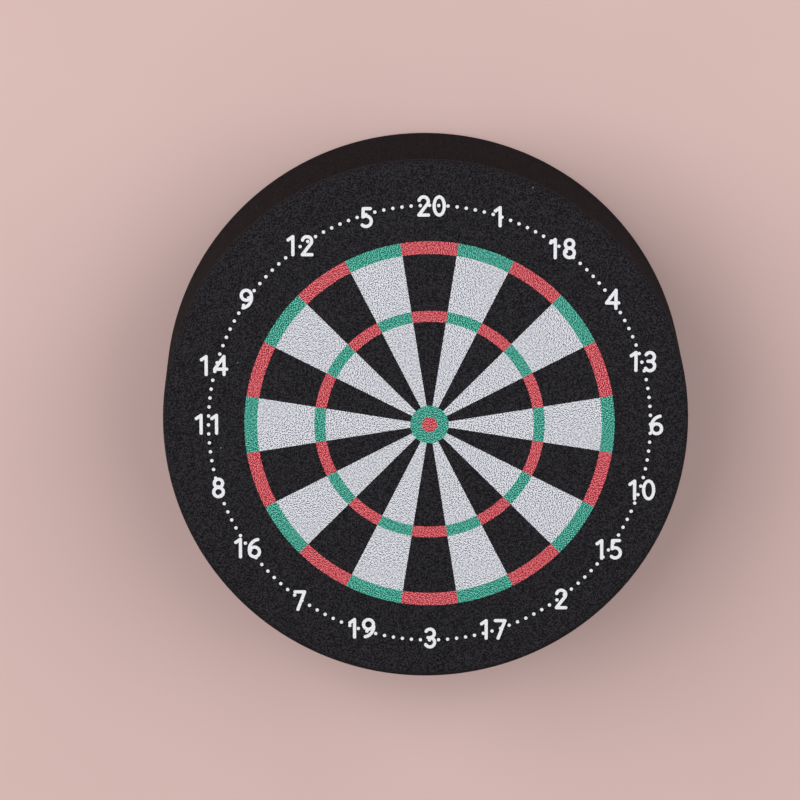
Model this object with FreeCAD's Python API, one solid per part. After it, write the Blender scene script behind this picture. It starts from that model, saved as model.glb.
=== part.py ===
"""A small magnetic dartboard: a black drum with a printed face, lying face up on its back cover.

Frame: +Z runs out of the face, +Y runs towards the number 20, and the feet stand on z = 0.
All sizes are in millimetres.
"""
import FreeCAD, Part
import math
import os

# Drum
face_height = 28.0            # the face above the surface that the feet stand on
rim_height = 0.6              # the drum's back rim and the cover's underside
base_radius = 40.0
front_radius = 39.2           # moulding draft
edge_round = 0.9              # rounded edge between the side wall and the face
rim_chamfer = 0.3
bore_radius = 37.8
face_thickness = 1.0
rebate_radius = 38.4          # step inside the rim that the cover seats in
notch_radius = 7.5            # finger notch in the rim, on the side of number 3
notch_depth = 2.4

# Print
print_x = 0.58                # the print sits a little off the drum's axis
print_y = -0.54
ink_thickness = 0.05
double_outer = 27.60
double_inner = 25.69
triple_outer = 17.18
triple_inner = 15.53
outer_bull = 2.86
inner_bull = 1.16
sectors = 20
dot_ring_radius = 32.95
dot_count = 152
dot_radius = 0.25
join_gap = 0.03               # a dot this close to a digit runs into it

# Numerals, drawn as strokes of one width
stroke_width = 0.48
digit_advance = 2.30
digit_top = 1.35              # end of a stroke's centre line above the middle of the digit

# Target plate and what holds it
plate_radius = 32.6
adhesive_radius = 32.0
adhesive_thickness = 0.15
plate_thickness = 1.0
pad_thickness = 2.0
clamp_outer = 37.4
clamp_inner = 27.0
clamp_thickness = 2.0
clamp_screw_count = 6
clamp_screw_circle = 35.6     # radius of the circle of screws
boss_radius = 2.3

# Small self-tapping screws
shank_radius = 0.98
tapped_radius = 1.02
clearance_radius = 1.15
head_radius = 1.8
recess_width = 0.5
recess_length = 2.2

# Back cover
cover_radius = 38.2
cover_top = 3.4
plug_outer = 37.5
plug_inner = 35.9
plug_top = 9.0
groove_floor = 36.30
groove_low = 5.15
groove_high = 6.75
grip_centre_radius = 37.05
grip_section_radius = 0.70

# Magnets, their backing plate, and the feet
ring_of_four = 31.0           # magnets on the diagonals, feet on the axes
magnet_radius = 4.0
magnet_thickness = 2.0
pocket_gap = 0.1
backing_radius = 35.2
backing_thickness = 0.8
backing_screw_x = 27.7
backing_screw_y = 11.5
foot_radius = 4.0
foot_recess = 1.0
foot_gap = 0.2

# Keyhole hanger: a steel plate outside and a moulded box inside clamp the cover between them
hanger_y = 14.0
hanger_width = 34.0
hanger_depth = 22.0
hanger_thickness = 0.8
hanger_gap = 0.2
hanger_corner = 1.5
hanger_screw_x = 11.5
key_entry_radius = 3.75
key_entry_y = 12.2
key_slot_radius = 1.9
key_slot_y = 17.8
hollow_width = 17.0
hollow_depth = 12.0
hollow_top = 5.0
box_width = 30.0
box_depth = 18.0
box_top = 6.2
box_gap = 0.3
flange_thickness = 0.8

# Dart tray
tray_radius = 35.0
tray_top = 11.2
channel_radius = 4.0
channel_depth = 3.8
channel_pitch = 13.0
channel_half_length = 30.0
side_channel_half_length = 27.0
well_width = 15.0
well_length = 34.0

# Heights that follow from the sizes above
inner_face = face_height - face_thickness
plate_high = inner_face - adhesive_thickness
plate_low = plate_high - plate_thickness
pad_low = plate_low - pad_thickness
clamp_low = pad_low - clamp_thickness
backing_top = cover_top + backing_thickness
hanger_high = rim_height + hanger_thickness

# The numbers clockwise from the top, and how far each is printed from its place on the dot ring
NUMBERS = (
    (20, 0.3, -0.1), (1, -0.1, -0.1), (18, 0.3, -0.2), (4, 0.5, -0.5), (13, 0.4, -0.7),
    (6, 0.9, -0.1), (10, 0.4, 0.2), (15, 0.2, 0.3), (2, 0.4, 0.0), (17, -0.6, 0.0),
    (3, 0.1, 0.3), (19, 0.0, 0.2), (7, -0.1, -0.2), (16, -0.6, 0.6), (8, -0.2, 0.6),
    (11, -0.3, 0.1), (14, -0.7, -1.2), (9, -0.5, -0.4), (12, 0.2, 0.3), (5, 0.9, -0.2),
)

# Centre lines of the digits: two points are a line, three an arc, and an oval has its centre and half sizes
DIGITS = {
    "0": [("oval", 0.0, 0.0, 0.75, digit_top)],
    "1": [("line", 0.2, -digit_top, 0.2, digit_top), ("line", 0.2, digit_top, -0.5, 0.86)],
    "2": [
        ("arc", -0.66, 0.84, 0.0, digit_top, 0.59, 0.32),
        ("line", 0.59, 0.32, -0.70, -digit_top),
        ("line", -0.70, -digit_top, 0.72, -digit_top),
    ],
    "3": [
        ("arc", -0.59, 1.01, 0.55, 1.01, -0.02, 0.03),
        ("line", -0.32, 0.03, -0.02, 0.03),
        ("arc", -0.02, 0.03, 0.68, -0.65, -0.66, -1.03),
    ],
    "4": [
        ("line", 0.55, digit_top, 0.55, -digit_top),
        ("line", 0.55, digit_top, -0.85, -0.55),
        ("line", -0.85, -0.55, 0.95, -0.55),
    ],
    "5": [
        ("line", -0.48, digit_top, 0.55, digit_top),
        ("line", -0.48, digit_top, -0.53, 0.11),
        ("arc", -0.53, 0.11, 0.70, -0.53, -0.63, -1.08),
    ],
    "6": [("oval", 0.0, -0.60, 0.74, 0.74), ("arc", -0.74, -0.55, -0.45, 0.72, 0.50, 1.30)],
    "7": [("line", -0.72, digit_top, 0.72, digit_top), ("line", 0.72, digit_top, -0.30, -digit_top)],
    "8": [("oval", 0.0, 0.70, 0.62, 0.62), ("oval", 0.0, -0.64, 0.72, 0.70)],
    "9": [("oval", 0.0, 0.60, 0.74, 0.74), ("arc", 0.74, 0.55, 0.45, -0.72, -0.50, -1.30)],
}


def point(x, y, z=0.0):
    return FreeCAD.Vector(x, y, z)


def disc(radius, low, high, x=0.0, y=0.0):
    return Part.makeCylinder(radius, high - low, point(x, y, low))


def cone(low_radius, high_radius, low, high, x=0.0, y=0.0):
    return Part.makeCone(low_radius, high_radius, high - low, point(x, y, low))


def tube(outer, inner, low, high):
    return disc(outer, low, high).cut(disc(inner, low, high))


def block(width, depth, low, high, x=0.0, y=0.0):
    return Part.makeBox(width, depth, high - low, point(x - width / 2, y - depth / 2, low))


def slot(radius, half_length, low, high, y=0.0):
    """A straight slot along X with round ends."""
    middle = block(2 * half_length, 2 * radius, low, high, 0.0, y)
    ends = [disc(radius, low, high, side * half_length, y) for side in (-1, 1)]
    return middle.multiFuse(ends).removeSplitter()


def polar(radius, degrees):
    angle = math.radians(degrees)
    return radius * math.cos(angle), radius * math.sin(angle)


def places(radius, count, first_degrees):
    return [polar(radius, first_degrees + 360.0 * index / count) for index in range(count)]


def save(node, shape):
    shape.exportStep("parts/" + node + ".step")


def save_group(node, solids):
    save(node, Part.makeCompound(solids))


def recess(low, high, x, y):
    """The cross recess in a screw's head."""
    bar = block(recess_length, recess_width, low, high, x, y)
    return bar.fuse(block(recess_width, recess_length, low, high, x, y))


# ---- The drum ----

def front_shell():
    """The moulded cup: revolved wall and face, screw bosses behind the face, and a finger notch."""
    corner_height = face_height - edge_round
    flat_radius = front_radius - edge_round
    middle = edge_round * math.sqrt(0.5)
    corners = [
        point(flat_radius, 0, face_height),
        point(0, 0, face_height),
        point(0, 0, inner_face),
        point(bore_radius, 0, inner_face),
        point(bore_radius, 0, cover_top),
        point(rebate_radius, 0, cover_top),
        point(rebate_radius, 0, rim_height),
        point(base_radius - rim_chamfer, 0, rim_height),
        point(base_radius, 0, rim_height + rim_chamfer),
        point(front_radius, 0, corner_height),
    ]
    edges = [Part.LineSegment(a, b).toShape() for a, b in zip(corners, corners[1:])]
    rounded = Part.Arc(corners[-1], point(flat_radius + middle, 0, corner_height + middle), corners[0])
    edges.append(rounded.toShape())
    shell = Part.Face(Part.Wire(edges)).revolve(point(0, 0), point(0, 0, 1), 360)
    for x, y in places(clamp_screw_circle, clamp_screw_count, 30):
        shell = shell.fuse(disc(boss_radius, pad_low, inner_face + 0.2, x, y))
    for x, y in places(clamp_screw_circle, clamp_screw_count, 30):
        shell = shell.cut(disc(tapped_radius, pad_low, inner_face - 0.6, x, y))
    notch_low = rim_height + notch_depth - notch_radius
    notch = Part.makeCylinder(notch_radius, 6.0, point(0, -base_radius - 1, notch_low), point(0, 1, 0))
    return shell.cut(notch).removeSplitter()


def clamp_ring():
    ring = tube(clamp_outer, clamp_inner, clamp_low, pad_low)
    for x, y in places(clamp_screw_circle, clamp_screw_count, 30):
        ring = ring.cut(disc(clearance_radius, clamp_low, pad_low, x, y))
    return ring


def pan_screw(x, y, seat, tip, head_height, upward):
    """A pan-head screw: seat is the height under its head, and tip the height of its end."""
    if upward:
        head = disc(head_radius, seat - head_height, seat, x, y)
        shank = disc(shank_radius, seat, tip, x, y)
        cross = recess(seat - head_height, seat - head_height / 2, x, y)
    else:
        head = disc(head_radius, seat, seat + head_height, x, y)
        shank = disc(shank_radius, tip, seat, x, y)
        cross = recess(seat + head_height / 2, seat + head_height, x, y)
    return head.fuse(shank).cut(cross)


# ---- The print ----

def sector(inner, outer, first_degrees, last_degrees):
    """A printed piece of a ring, between two radii and two angles about the print's centre."""
    middle_degrees = (first_degrees + last_degrees) / 2
    first_in, middle_in, last_in = [
        point(*polar(inner, a)) for a in (first_degrees, middle_degrees, last_degrees)]
    first_out, middle_out, last_out = [
        point(*polar(outer, a)) for a in (first_degrees, middle_degrees, last_degrees)]
    edges = [
        Part.LineSegment(first_in, first_out).toShape(),
        Part.Arc(first_out, middle_out, last_out).toShape(),
        Part.LineSegment(last_out, last_in).toShape(),
        Part.Arc(last_in, middle_in, first_in).toShape(),
    ]
    return lay_print(Part.Face(Part.Wire(edges)).extrude(point(0, 0, ink_thickness)))


def lay_print(solid):
    """Move a printed piece from the origin to its place on the face."""
    solid.translate(point(print_x, print_y, face_height))
    return solid


def printed_fields():
    """The white, red and green fields, lists of solids. Sector 0 is number 20, and is black and red."""
    white, red, green = [], [], []
    width = 360.0 / sectors
    for index in range(sectors):
        first = 90 - width / 2 + index * width
        last = first + width
        bands = green if index % 2 else red
        bands.append(sector(double_inner, double_outer, first, last))
        bands.append(sector(triple_inner, triple_outer, first, last))
        if index % 2:
            white.append(sector(triple_outer, double_inner, first, last))
            white.append(sector(outer_bull, triple_inner, first, last))
    green.append(lay_print(tube(outer_bull, inner_bull, 0, ink_thickness)))
    red.append(lay_print(disc(inner_bull, 0, ink_thickness)))
    return white, red, green


def line_stroke(x1, y1, x2, y2):
    length = math.hypot(x2 - x1, y2 - y1)
    half = stroke_width / 2
    bar = Part.makeBox(length, stroke_width, ink_thickness, point(0, -half))
    bar.rotate(point(0, 0), point(0, 0, 1), math.degrees(math.atan2(y2 - y1, x2 - x1)))
    bar.translate(point(x1, y1))
    return [bar, disc(half, 0, ink_thickness, x1, y1), disc(half, 0, ink_thickness, x2, y2)]


def arc_stroke(x1, y1, x2, y2, x3, y3):
    """A stroke along the arc from the first point through the second to the third."""
    half = stroke_width / 2
    circle = Part.Arc(point(x1, y1), point(x2, y2), point(x3, y3)).toShape().Curve
    centre, radius = circle.Center, circle.Radius
    start, through, end = [
        math.degrees(math.atan2(y - centre.y, x - centre.x)) for x, y in ((x1, y1), (x2, y2), (x3, y3))]
    if (through - start) % 360 > (end - start) % 360:
        start, end = end, start
    sweep = (end - start) % 360
    band = Part.makeCylinder(radius + half, ink_thickness, point(0, 0), point(0, 0, 1), sweep)
    band = band.cut(Part.makeCylinder(radius - half, ink_thickness))
    band.rotate(point(0, 0), point(0, 0, 1), start)
    band.translate(centre)
    return [band, disc(half, 0, ink_thickness, x1, y1), disc(half, 0, ink_thickness, x3, y3)]


def ellipse_solid(x, y, half_width, half_height):
    if abs(half_width - half_height) < 0.001:
        return disc(half_width, 0, ink_thickness, x, y)
    outline = Part.Ellipse(point(0, 0), max(half_width, half_height), min(half_width, half_height)).toShape()
    solid = Part.Face(Part.Wire(outline)).extrude(point(0, 0, ink_thickness))
    if half_height > half_width:
        solid.rotate(point(0, 0), point(0, 0, 1), 90)
    solid.translate(point(x, y))
    return solid


def oval_stroke(x, y, half_width, half_height):
    half = stroke_width / 2
    outer = ellipse_solid(x, y, half_width + half, half_height + half)
    return [outer.cut(ellipse_solid(x, y, half_width - half, half_height - half))]


STROKES = {"line": line_stroke, "arc": arc_stroke, "oval": oval_stroke}


def digit(character):
    pieces = []
    for kind, *numbers in DIGITS[character]:
        pieces += STROKES[kind](*numbers)
    return pieces[0].multiFuse(pieces[1:]) if len(pieces) > 1 else pieces[0]


def printed_numbers():
    """The numbers' digits, and the dots between them. A dot that meets a digit is one with it."""
    digits = []
    for index, (number, shift_x, shift_y) in enumerate(NUMBERS):
        group = []
        for position, character in enumerate(str(number)):
            shape = digit(character)
            shape.translate(point(position * digit_advance, 0))
            group.append(shape)
        box = Part.makeCompound(group).BoundBox
        x, y = polar(dot_ring_radius, 90 - index * 360.0 / sectors)
        for shape in group:
            shape.translate(point(x + shift_x - box.Center.x, y + shift_y - box.Center.y))
            digits.append(shape)
    dots = []
    for x, y in places(dot_ring_radius, dot_count, 90):
        dot = disc(dot_radius, 0, ink_thickness, x, y)
        near, far = [], []
        for shape in digits:
            meets = shape.BoundBox.intersect(dot.BoundBox) and shape.distToShape(dot)[0] < join_gap
            (near if meets else far).append(shape)
        if near:
            digits = far + [dot.multiFuse(near)]
        else:
            dots.append(dot)
    return [lay_print(shape) for shape in digits], [lay_print(shape) for shape in dots]


# ---- The back cover ----

def back_cover():
    """The moulded cover: disc, plug wall with a groove, pockets, and a window for the hanger's box."""
    cover = disc(cover_radius, rim_height + rim_chamfer, cover_top)
    cover = cover.fuse(cone(cover_radius - rim_chamfer, cover_radius, rim_height, rim_height + rim_chamfer))
    cover = cover.fuse(tube(plug_outer, plug_inner, cover_top, plug_top))
    cuts = [tube(plug_outer + 1, groove_floor, groove_low, groove_high)]
    cuts += [disc(magnet_radius + pocket_gap, cover_top - magnet_thickness, cover_top, x, y)
             for x, y in places(ring_of_four, 4, 45)]
    cuts += [disc(foot_radius + foot_gap, rim_height, rim_height + foot_recess, x, y)
             for x, y in places(ring_of_four, 4, 0)]
    cuts += [disc(tapped_radius, rim_height + 0.8, cover_top, x, y) for x, y in backing_screw_places()]
    cuts.append(block(hanger_width + 2 * hanger_gap, hanger_depth + 2 * hanger_gap,
                      rim_height, hanger_high, 0, hanger_y))
    cuts.append(block(box_width + 2 * box_gap, box_depth + 2 * box_gap, hanger_high, cover_top, 0, hanger_y))
    cuts.append(block(10.0, 3.0, rim_height + 1.0, rim_height + 2.0, 0, -cover_radius))
    return cover.cut(cuts).removeSplitter()


def backing_screw_places():
    return [(sx * backing_screw_x, sy * backing_screw_y) for sx in (-1, 1) for sy in (-1, 1)]


def grip_ring():
    middle = (groove_low + groove_high) / 2
    return Part.makeTorus(grip_centre_radius, grip_section_radius, point(0, 0, middle))


def magnet(x, y):
    body = disc(magnet_radius, cover_top - magnet_thickness, cover_top, x, y)
    return body.makeChamfer(0.2, [edge for edge in body.Edges if edge.Curve.TypeId == "Part::GeomCircle"])


def foot(x, y):
    body = disc(foot_radius, 0.0, rim_height + foot_recess, x, y)
    low = [edge for edge in body.Edges
           if edge.Curve.TypeId == "Part::GeomCircle" and abs(edge.BoundBox.ZMin) < 0.001]
    return body.makeFillet(0.25, low)


def backing_plate():
    plate = disc(backing_radius, cover_top, backing_top)
    opening = block(hanger_width + 2 * box_gap, hanger_depth + 2 * box_gap,
                    cover_top, backing_top, 0, hanger_y)
    holes = [disc(clearance_radius, cover_top, backing_top, x, y) for x, y in backing_screw_places()]
    return plate.cut([opening] + holes)


def hanger_plate():
    low, high = rim_height, hanger_high
    plate = block(hanger_width, hanger_depth, low, high, 0, hanger_y)
    upright = [edge for edge in plate.Edges if edge.BoundBox.ZLength > 0.5]
    plate = plate.makeFillet(hanger_corner, upright)
    keyway = disc(key_entry_radius, low, high, 0, key_entry_y)
    keyway = keyway.fuse(disc(key_slot_radius, low, high, 0, key_slot_y))
    keyway = keyway.fuse(block(2 * key_slot_radius, key_slot_y - key_entry_y, low, high,
                               0, (key_slot_y + key_entry_y) / 2))
    sinks = [cone(head_radius + 0.05, clearance_radius, low, high, side * hanger_screw_x, hanger_y)
             for side in (-1, 1)]
    return plate.cut([keyway] + sinks)


def hanger_box():
    """The box behind the keyhole that keeps a screw's head clear of the darts."""
    body = block(box_width, box_depth, hanger_high, box_top, 0, hanger_y)
    flange_top = cover_top + flange_thickness
    body = body.fuse(block(hanger_width, hanger_depth, cover_top, flange_top, 0, hanger_y))
    cuts = [block(hollow_width, hollow_depth, hanger_high, hollow_top, 0, hanger_y)]
    cuts += [disc(tapped_radius, hanger_high, hollow_top, side * hanger_screw_x, hanger_y)
             for side in (-1, 1)]
    return body.cut(cuts).removeSplitter()


def hanger_screw(x):
    """A countersunk screw, flush with the hanger plate."""
    low, high = rim_height, hanger_high
    body = cone(head_radius, shank_radius, low, high, x, hanger_y)
    body = body.fuse(disc(shank_radius, high, hollow_top - 0.4, x, hanger_y))
    return body.cut(recess(low, low + 0.4, x, hanger_y))


def dart_tray():
    """A foam disc with three channels for darts, a finger well, and room for what is under it."""
    tray = disc(tray_radius, backing_top, tray_top)
    cuts = [block(box_width + 2 * box_gap, box_depth + 2 * box_gap,
                  backing_top, box_top + box_gap, 0, hanger_y)]
    cuts += [disc(head_radius + 0.4, backing_top, backing_top + 1.3, x, y) for x, y in backing_screw_places()]
    channel_floor = tray_top - channel_depth
    cuts.append(slot(channel_radius, channel_half_length - channel_radius, channel_floor, tray_top))
    cuts += [slot(channel_radius, side_channel_half_length - channel_radius, channel_floor, tray_top,
                  side * channel_pitch) for side in (-1, 1)]
    cuts.append(block(well_width, well_length, channel_floor, tray_top))
    return tray.cut(cuts).removeSplitter()


save("front_shell", front_shell())
save("plate_adhesive", disc(adhesive_radius, plate_high, inner_face))
save("target_plate", disc(plate_radius, plate_low, plate_high))
save("damping_pad", disc(plate_radius, pad_low, plate_low))
save("clamp_ring", clamp_ring())
save_group("clamp_screws", [pan_screw(x, y, clamp_low, inner_face - 0.8, 1.3, True)
                            for x, y in places(clamp_screw_circle, clamp_screw_count, 30)])

white_fields, red_fields, green_fields = printed_fields()
save_group("white_fields", white_fields)
save_group("red_fields", red_fields)
save_group("green_fields", green_fields)
number_shapes, dot_shapes = printed_numbers()
save_group("numerals", number_shapes)
save_group("ring_dots", dot_shapes)

save("back_cover", back_cover())
save("grip_ring", grip_ring())
for order, (magnet_x, magnet_y) in enumerate(places(ring_of_four, 4, 45), 1):
    save("magnet_%d" % order, magnet(magnet_x, magnet_y))
for order, (foot_x, foot_y) in enumerate(places(ring_of_four, 4, 0), 1):
    save("foot_%d" % order, foot(foot_x, foot_y))
save("backing_plate", backing_plate())
save_group("backing_screws", [pan_screw(x, y, backing_top, rim_height + 1.0, 1.0, False)
                              for x, y in backing_screw_places()])
save("hanger_plate", hanger_plate())
save("hanger_box", hanger_box())
save_group("hanger_screws", [hanger_screw(side * hanger_screw_x) for side in (-1, 1)])
save("dart_tray", dart_tray())
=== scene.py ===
import bmesh
import bpy
import math
from mathutils import Matrix, Vector


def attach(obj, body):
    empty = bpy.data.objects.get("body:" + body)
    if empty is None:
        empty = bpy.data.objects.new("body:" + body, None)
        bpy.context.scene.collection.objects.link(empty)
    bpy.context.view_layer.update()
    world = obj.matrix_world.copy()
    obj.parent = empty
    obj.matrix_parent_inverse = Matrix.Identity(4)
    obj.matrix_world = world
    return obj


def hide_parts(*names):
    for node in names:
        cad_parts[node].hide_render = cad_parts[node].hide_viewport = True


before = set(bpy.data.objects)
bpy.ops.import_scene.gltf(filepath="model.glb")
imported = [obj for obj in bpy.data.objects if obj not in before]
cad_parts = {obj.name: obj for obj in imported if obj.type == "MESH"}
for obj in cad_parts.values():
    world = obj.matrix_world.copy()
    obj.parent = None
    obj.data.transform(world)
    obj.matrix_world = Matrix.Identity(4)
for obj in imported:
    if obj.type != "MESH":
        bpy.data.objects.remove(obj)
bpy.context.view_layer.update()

MM = 0.001
scene = bpy.context.scene
scene.view_settings.view_transform = "Standard"
scene.view_settings.look = "None"

# Sizes of the CAD part that the finer pieces repeat, in millimetres
FACE_HEIGHT = 28.0
RIM_HEIGHT = 0.6
BASE_RADIUS = 40.0
FRONT_RADIUS = 39.2
EDGE_ROUND = 0.9
RIM_CHAMFER = 0.3
BORE_RADIUS = 37.8
INNER_FACE = 27.0
REBATE_RADIUS = 38.4
COVER_TOP = 3.4
NOTCH_RADIUS = 7.5
NOTCH_DEPTH = 2.4
PAD_LOW = 23.85
BOSS_RADIUS = 2.3
BOSS_HOLE = 1.02
BOSS_CIRCLE = 35.6
BOSS_COUNT = 6
FIRST_BOSS = 30                     # degrees round from +X
BOSS_OVERLAP = 0.1                  # how far each boss runs into the face


# ---- Camera, light and floor ----

TILT = math.radians(10.5)           # camera off the face's normal
TILT_WAY = math.radians(92.5)       # towards number 20
DISTANCE = 0.640
LENS = 193.2
FRAME_RIGHT = 3.82 * MM             # the face's centre sits right of and below the frame's centre
FRAME_DOWN = 3.13 * MM


def make_camera():
    """A long lens looking down at the face, tilted a little towards number 20."""
    face = Vector((0, 0, FACE_HEIGHT * MM))
    away = Vector((math.sin(TILT) * math.cos(TILT_WAY), math.sin(TILT) * math.sin(TILT_WAY), math.cos(TILT)))
    right = Vector((0, 1, 0)).cross(away).normalized()
    up = away.cross(right)
    place = face + DISTANCE * away
    aim = face - FRAME_RIGHT * right + FRAME_DOWN * up
    back = (place - aim).normalized()
    across = up.cross(back).normalized()
    over = back.cross(across)
    data = bpy.data.cameras.new("camera")
    data.lens = LENS
    data.sensor_width = 36.0
    data.clip_start = 0.01
    data.clip_end = 20.0
    camera = bpy.data.objects.new("camera", data)
    rotation = Matrix((across, over, back)).transposed()
    camera.matrix_world = Matrix.Translation(place) @ rotation.to_4x4()
    scene.collection.objects.link(camera)
    scene.camera = camera


def area_light(name, place, aim, width, height, power):
    data = bpy.data.lights.new(name, "AREA")
    data.shape = "RECTANGLE"
    data.size = width
    data.size_y = height
    data.energy = power
    light = bpy.data.objects.new(name, data)
    direction = Vector(aim) - Vector(place)
    light.location = place
    light.rotation_euler = direction.to_track_quat("-Z", "Y").to_euler()
    scene.collection.objects.link(light)


def make_world():
    """Dim, slightly warm light from all round."""
    world = bpy.data.worlds.new("studio")
    world.use_nodes = True
    background = world.node_tree.nodes["Background"]
    background.inputs["Color"].default_value = (1.0, 0.98, 0.97, 1)
    background.inputs["Strength"].default_value = 0.23
    scene.world = world


# ---- Materials ----

def srgb(red, green, blue):
    """A linear colour from 0 to 255 display values."""
    values = []
    for value in (red, green, blue):
        part = value / 255
        values.append(part / 12.92 if part <= 0.04045 else ((part + 0.055) / 1.055) ** 2.4)
    return (*values, 1.0)


class Nodes:
    """A material's node tree, with short calls for the nodes that the materials share."""

    def __init__(self, name):
        self.material = bpy.data.materials.new(name)
        self.material.use_nodes = True
        self.tree = self.material.node_tree
        self.shader = self.tree.nodes["Principled BSDF"]
        self.where = self.add("ShaderNodeTexCoord").outputs["Object"]

    def add(self, kind, **settings):
        node = self.tree.nodes.new(kind)
        for key, value in settings.items():
            setattr(node, key, value)
        return node

    def link(self, source, target):
        self.tree.links.new(source, target)

    def stretched(self, x, y, z):
        node = self.add("ShaderNodeMapping")
        node.inputs["Scale"].default_value = (x, y, z)
        self.link(self.where, node.inputs["Vector"])
        return node.outputs["Vector"]

    def noise(self, size_mm, detail=2.0, where=None):
        """Noise with features of about size_mm, from 0 to 1 about a middle of 0.5."""
        node = self.add("ShaderNodeTexNoise")
        node.inputs["Scale"].default_value = 1.0 / (size_mm * MM)
        node.inputs["Detail"].default_value = detail
        self.link(where or self.where, node.inputs["Vector"])
        return node.outputs["Fac"]

    def specks(self, cell_mm, radius, share):
        """Round specks: 1 inside a share of the cells, within radius of the cell's own point, and else 0."""
        node = self.add("ShaderNodeTexVoronoi")
        node.inputs["Scale"].default_value = 1.0 / (cell_mm * MM)
        self.link(self.where, node.inputs["Vector"])
        inside = self.math("LESS_THAN", node.outputs["Distance"], radius)
        parts = self.add("ShaderNodeSeparateColor")
        self.link(node.outputs["Color"], parts.inputs["Color"])
        chosen = self.math("LESS_THAN", parts.outputs["Red"], share)
        return self.math("MULTIPLY", inside, chosen)

    def math(self, operation, first, second):
        node = self.add("ShaderNodeMath", operation=operation)
        for socket, value in zip(node.inputs, (first, second)):
            if isinstance(value, (int, float)):
                socket.default_value = value
            else:
                self.link(value, socket)
        return node.outputs["Value"]

    def ramp(self, value, stops):
        node = self.add("ShaderNodeValToRGB")
        elements = node.color_ramp.elements
        while len(elements) < len(stops):
            elements.new(0.5)
        for element, (position, colour) in zip(elements, stops):
            element.position = position
            element.color = colour
        self.link(value, node.inputs["Fac"])
        return node.outputs["Color"]

    def mix(self, amount, first, second):
        node = self.add("ShaderNodeMix", data_type="RGBA")
        sockets = (node.inputs[0], node.inputs[6], node.inputs[7])
        for socket, value in zip(sockets, (amount, first, second)):
            if isinstance(value, (int, float, tuple)):
                socket.default_value = value
            else:
                self.link(value, socket)
        return node.outputs[2]

    def spread(self, value, low, high):
        """value, which runs from 0 to 1, spread over low to high."""
        node = self.add("ShaderNodeMapRange")
        node.inputs["To Min"].default_value = low
        node.inputs["To Max"].default_value = high
        self.link(value, node.inputs["Value"])
        return node.outputs["Result"]

    def bump(self, height, strength, depth_mm):
        node = self.add("ShaderNodeBump")
        node.inputs["Strength"].default_value = strength
        node.inputs["Distance"].default_value = depth_mm * MM
        self.link(height, node.inputs["Height"])
        return node.outputs["Normal"]

    def finish(self, colour, roughness, normal=None, metallic=0.0, specular=0.5):
        self.link(colour, self.shader.inputs["Base Color"])
        if isinstance(roughness, float):
            self.shader.inputs["Roughness"].default_value = roughness
        else:
            self.link(roughness, self.shader.inputs["Roughness"])
        if normal:
            self.link(normal, self.shader.inputs["Normal"])
        self.shader.inputs["Metallic"].default_value = metallic
        self.shader.inputs["Specular IOR Level"].default_value = specular
        return self.material


def grained(name, dark, middle, light, grain_mm=0.15, dust=0.0, specular=0.08):
    """Fine moulded grain, bare or under ink: painted shade in its pits and painted highlights on its points,
    about a middle colour.

    dust is the share of the cells that hold a speck.
    """
    nodes = Nodes(name)
    grain = nodes.noise(grain_mm, detail=0.0)
    # The grain noise paints shade (dark colour) and highlights (light colour) into the colour; the bump below
    # uses the same noise.
    colour = nodes.ramp(grain, [(0.34, dark), (0.5, middle), (0.66, light)])
    broad = nodes.noise(9.0, detail=2.0)
    colour = nodes.mix(nodes.spread(broad, 0.0, 0.08), colour, dark)
    if dust:
        specks = nodes.specks(2.6, 0.045, dust)
        colour = nodes.mix(nodes.math("MULTIPLY", specks, 0.6), colour, srgb(150, 145, 143))
    rough = nodes.spread(nodes.noise(0.4, detail=1.0), 0.6, 0.8)
    return nodes.finish(colour, rough, nodes.bump(grain, 0.35, 0.03), specular=specular)


def plastic(name, colour, dust=True):
    """Smooth moulded plastic: a faint cloud in its gloss, hairline scratches and a few specks of dust."""
    nodes = Nodes(name)
    cloud = nodes.noise(6.0, detail=3.0)
    deep = tuple(part * 0.8 for part in colour[:3]) + (1.0,)
    shade = nodes.ramp(cloud, [(0.3, deep), (0.7, colour)])
    hair = nodes.noise(0.5, detail=3.0, where=nodes.stretched(1.0, 1.0, 0.06))
    scratch = nodes.math("GREATER_THAN", hair, 0.74)
    pale = tuple(min(1.0, part * 1.6 + 0.012) for part in colour[:3]) + (1.0,)
    shade = nodes.mix(nodes.math("MULTIPLY", scratch, 0.5), shade, pale)
    if dust:
        speck = nodes.specks(1.6, 0.055, 0.30)
        shade = nodes.mix(nodes.math("MULTIPLY", speck, 0.5), shade, srgb(120, 112, 110))
    fine = nodes.noise(0.15, detail=2.0)
    rough = nodes.spread(cloud, 0.35, 0.5)
    return nodes.finish(shade, rough, nodes.bump(fine, 0.3, 0.01), specular=0.4)


def foam(name, colour):
    """Closed-cell foam: small round cells that catch the light at their rims."""
    nodes = Nodes(name)
    cells = nodes.add("ShaderNodeTexVoronoi")
    cells.inputs["Scale"].default_value = 1.0 / (0.45 * MM)
    nodes.link(nodes.where, cells.inputs["Vector"])
    deep = tuple(part * 0.45 for part in colour[:3]) + (1.0,)
    shade = nodes.ramp(cells.outputs["Distance"], [(0.0, deep), (0.5, colour)])
    broad = nodes.noise(5.0, detail=2.0)
    shade = nodes.mix(nodes.spread(broad, 0.0, 0.3), shade, deep)
    return nodes.finish(shade, 0.9, nodes.bump(cells.outputs["Distance"], 0.5, 0.08), specular=0.2)


def rubber(name, colour):
    """Moulded rubber: a fine mottled skin with an uneven sheen."""
    nodes = Nodes(name)
    fine = nodes.noise(0.12, detail=3.0)
    deep = tuple(part * 0.6 for part in colour[:3]) + (1.0,)
    shade = nodes.ramp(fine, [(0.3, deep), (0.7, colour)])
    rough = nodes.spread(nodes.noise(1.5, detail=2.0), 0.6, 0.85)
    return nodes.finish(shade, rough, nodes.bump(fine, 0.4, 0.02), specular=0.3)


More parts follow.
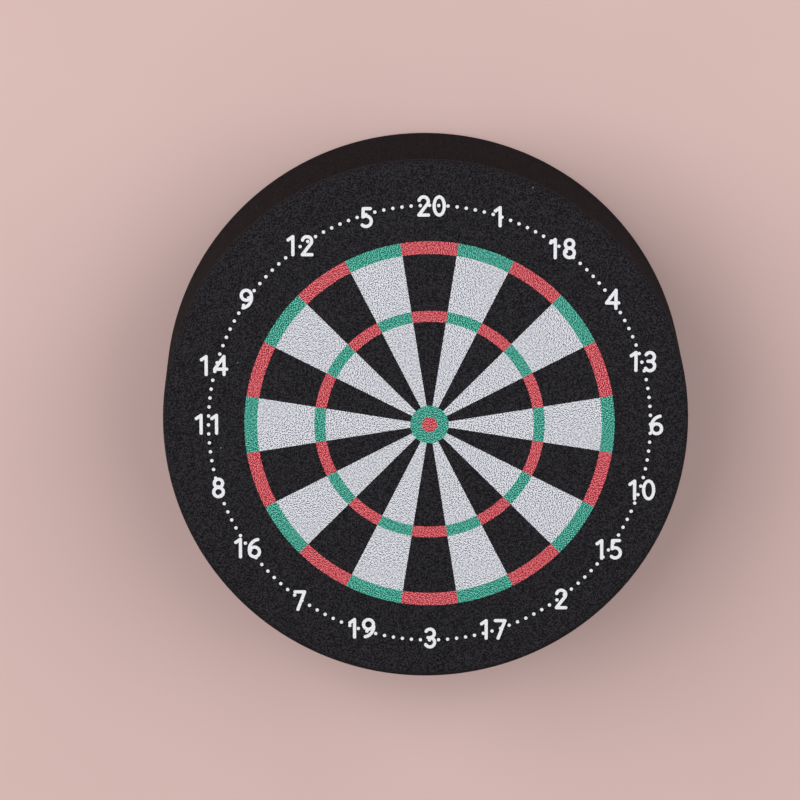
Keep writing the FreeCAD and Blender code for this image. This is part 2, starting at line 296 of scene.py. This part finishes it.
def metal(name, colour, brush=(1.0, 0.03, 1.0), roughness=(0.25, 0.5)):
    """Rolled or plated steel: fine lines one way, and cloudy gloss."""
    nodes = Nodes(name)
    lines = nodes.noise(0.12, detail=3.0, where=nodes.stretched(*brush))
    deep = tuple(part * 0.7 for part in colour[:3]) + (1.0,)
    shade = nodes.ramp(lines, [(0.25, deep), (0.75, colour)])
    rough = nodes.spread(nodes.noise(3.0, detail=4.0), *roughness)
    return nodes.finish(shade, rough, nodes.bump(lines, 0.15, 0.01), metallic=1.0)


def dress(node_name, material):
    """Give a CAD node its material."""
    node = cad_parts[node_name]
    node.data.materials.clear()
    node.data.materials.append(material)


# ---- Mesh helpers ----

def new_object(name, mesh, materials):
    thing = bpy.data.objects.new(name, mesh)
    for material in materials:
        mesh.materials.append(material)
    scene.collection.objects.link(thing)
    return thing


def lathe(bm, profile, steps, centre=(0.0, 0.0), closed=True):
    """Turn a profile of (radius, height) points, in millimetres, about the Z axis through centre."""
    rings = []
    for radius, height in profile:
        if radius < 1e-6:
            rings.append([bm.verts.new((centre[0] * MM, centre[1] * MM, height * MM))])
            continue
        ring = []
        for step in range(steps):
            angle = 2 * math.pi * step / steps
            ring.append(bm.verts.new(((centre[0] + radius * math.cos(angle)) * MM,
                                      (centre[1] + radius * math.sin(angle)) * MM, height * MM)))
        rings.append(ring)
    pairs = list(zip(rings, rings[1:]))
    if closed:
        pairs.append((rings[-1], rings[0]))
    for first, second in pairs:
        for step in range(steps):
            following = (step + 1) % steps
            if len(first) == 1 and len(second) == 1:
                break
            if len(first) == 1:
                bm.faces.new((first[0], second[step], second[following]))
            elif len(second) == 1:
                bm.faces.new((first[step], second[0], first[following]))
            else:
                bm.faces.new((first[step], second[step], second[following], first[following]))


def shaded(mesh):
    """Shade smoothly, except across edges of more than 30 degrees."""
    for polygon in mesh.polygons:
        polygon.use_smooth = True
    mesh.set_sharp_from_angle(angle=math.radians(30))


def rounded_corner(radius, centre_radius, centre_height, first, last, steps=8):
    """Points of an arc from one angle to another, in degrees, as (radius, height)."""
    points = []
    for step in range(steps + 1):
        angle = math.radians(first + (last - first) * step / steps)
        points.append((centre_radius + radius * math.cos(angle), centre_height + radius * math.sin(angle)))
    return points


def cut_by(thing, cutter):
    """Take the cutter's shape out of the thing, and remove the cutter."""
    modifier = thing.modifiers.new("cut", "BOOLEAN")
    modifier.operation = "DIFFERENCE"
    modifier.solver = "EXACT"
    modifier.object = cutter
    depsgraph = bpy.context.evaluated_depsgraph_get()
    mesh = bpy.data.meshes.new_from_object(thing.evaluated_get(depsgraph))
    thing.modifiers.clear()
    old = thing.data
    thing.data = mesh
    bpy.data.meshes.remove(old)
    bpy.data.objects.remove(cutter)


# ---- The drum's shell ----

def make_shell(face_material, wall_material):
    """The cup with its rounded edge, finger notch and screw bosses, in the CAD shell's place."""
    flat_radius = FRONT_RADIUS - EDGE_ROUND
    corner = rounded_corner(EDGE_ROUND, flat_radius, FACE_HEIGHT - EDGE_ROUND, 0, 90)
    profile = [
        (0.0, INNER_FACE), (BORE_RADIUS, INNER_FACE), (BORE_RADIUS, COVER_TOP), (REBATE_RADIUS, COVER_TOP),
        (REBATE_RADIUS, RIM_HEIGHT), (BASE_RADIUS - RIM_CHAMFER, RIM_HEIGHT),
        (BASE_RADIUS, RIM_HEIGHT + RIM_CHAMFER), *corner, (0.0, FACE_HEIGHT),
    ]
    bm = bmesh.new()
    lathe(bm, profile, 288, closed=False)
    bmesh.ops.recalc_face_normals(bm, faces=bm.faces)
    mesh = bpy.data.meshes.new("shell")
    bm.to_mesh(mesh)
    bm.free()
    shell = new_object("shell", mesh, [wall_material, face_material])
    notch = bmesh.new()
    bmesh.ops.create_cone(
        notch, cap_ends=True, segments=96, radius1=NOTCH_RADIUS * MM, radius2=NOTCH_RADIUS * MM, depth=6 * MM,
        matrix=Matrix.Translation((0, -(BASE_RADIUS - 2) * MM, (RIM_HEIGHT + NOTCH_DEPTH - NOTCH_RADIUS) * MM))
        @ Matrix.Rotation(math.pi / 2, 4, "X"))
    cutter_mesh = bpy.data.meshes.new("notch_cutter")
    notch.to_mesh(cutter_mesh)
    notch.free()
    cut_by(shell, new_object("notch_cutter", cutter_mesh, []))
    bm = bmesh.new()
    bm.from_mesh(shell.data)
    for index in range(BOSS_COUNT):
        angle = math.radians(FIRST_BOSS + 360 * index / BOSS_COUNT)
        centre = (BOSS_CIRCLE * math.cos(angle), BOSS_CIRCLE * math.sin(angle))
        boss = [(BOSS_HOLE, INNER_FACE + BOSS_OVERLAP), (BOSS_HOLE, PAD_LOW), (BOSS_RADIUS, PAD_LOW),
                (BOSS_RADIUS, INNER_FACE + BOSS_OVERLAP)]
        lathe(bm, boss, 40, centre)
    bm.to_mesh(shell.data)
    bm.free()
    for polygon in shell.data.polygons:
        polygon.material_index = 1 if polygon.center.z > (FACE_HEIGHT - EDGE_ROUND) * MM else 0
    shaded(shell.data)
    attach(shell, "drum")
    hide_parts("front_shell")


# ---- The scene ----

make_camera()
make_world()
area_light("softbox_left", (-0.58, 0.26, 0.80), (0, 0, 0), 0.80, 1.00, 6.8)
area_light("softbox_right", (0.58, 0.22, 0.80), (0, 0, 0), 0.80, 1.00, 4.55)

floor_mesh = bpy.data.meshes.new("floor")
floor_mesh.from_pydata([(-3, -3, 0), (3, -3, 0), (3, 3, 0), (-3, 3, 0)], [], [(0, 1, 2, 3)])
floor_nodes = Nodes("floor_paper")
floor_tone = floor_nodes.ramp(floor_nodes.noise(60.0, detail=3.0),
                              [(0.3, srgb(222, 191, 186)), (0.7, srgb(226, 195, 190))])
floor = new_object("floor", floor_mesh, [floor_nodes.finish(floor_tone, 0.9, specular=0.2)])

# The dark and light colours given here are painted shade in the grain's pits and painted highlights on its
# points.
black_face = grained(
    "black_face", srgb(15, 14, 16), srgb(32, 30, 34), srgb(51, 49, 53), grain_mm=0.19, dust=0.25)
black_wall = grained(
    "black_wall", srgb(9, 8, 10), srgb(21, 20, 22), srgb(38, 36, 38), grain_mm=0.28, dust=0.4, specular=0.02)
make_shell(black_face, black_wall)

# The dark and light colours of each ink are painted shade in the grain's pits and painted highlights on its
# points.
dress("white_fields", grained("white_print", srgb(70, 70, 78), srgb(220, 223, 236), srgb(255, 255, 255)))
dress("red_fields", grained("red_print", srgb(90, 6, 12), srgb(212, 60, 72), srgb(255, 150, 158)))
dress("green_fields", grained("green_print", srgb(4, 50, 40), srgb(42, 147, 127), srgb(128, 226, 205)))
number_print = grained("number_print", srgb(215, 217, 224), srgb(246, 247, 252), srgb(255, 255, 255))
dress("numerals", number_print)
dress("ring_dots", number_print)

steel = metal("sheet_steel", srgb(185, 187, 190))
plated = metal("plated_steel", srgb(190, 190, 188), brush=(1.0, 1.0, 1.0))
nickel = metal("nickel", srgb(205, 202, 194), brush=(1.0, 1.0, 1.0), roughness=(0.12, 0.25))
dress("plate_adhesive", plastic("adhesive_film", srgb(214, 210, 198), dust=False))
dress("target_plate", steel)
dress("damping_pad", foam("pad_foam", srgb(60, 60, 63)))
dress("clamp_ring", plastic("inner_plastic", srgb(48, 48, 50)))
dress("clamp_screws", plated)
dress("back_cover", plastic("cover_plastic", srgb(50, 49, 51)))
dress("grip_ring", rubber("grip_rubber", srgb(46, 45, 45)))
dress("dart_tray", foam("tray_foam", srgb(118, 120, 126)))
dress("backing_plate", steel)
dress("backing_screws", plated)
dress("hanger_plate", plated)
dress("hanger_box", plastic("hanger_box_plastic", srgb(38, 38, 40)))
dress("hanger_screws", plated)
foot_rubber = rubber("foot_rubber", srgb(50, 49, 49))
for number in (1, 2, 3, 4):
    dress("magnet_%d" % number, nickel)
    dress("foot_%d" % number, foot_rubber)
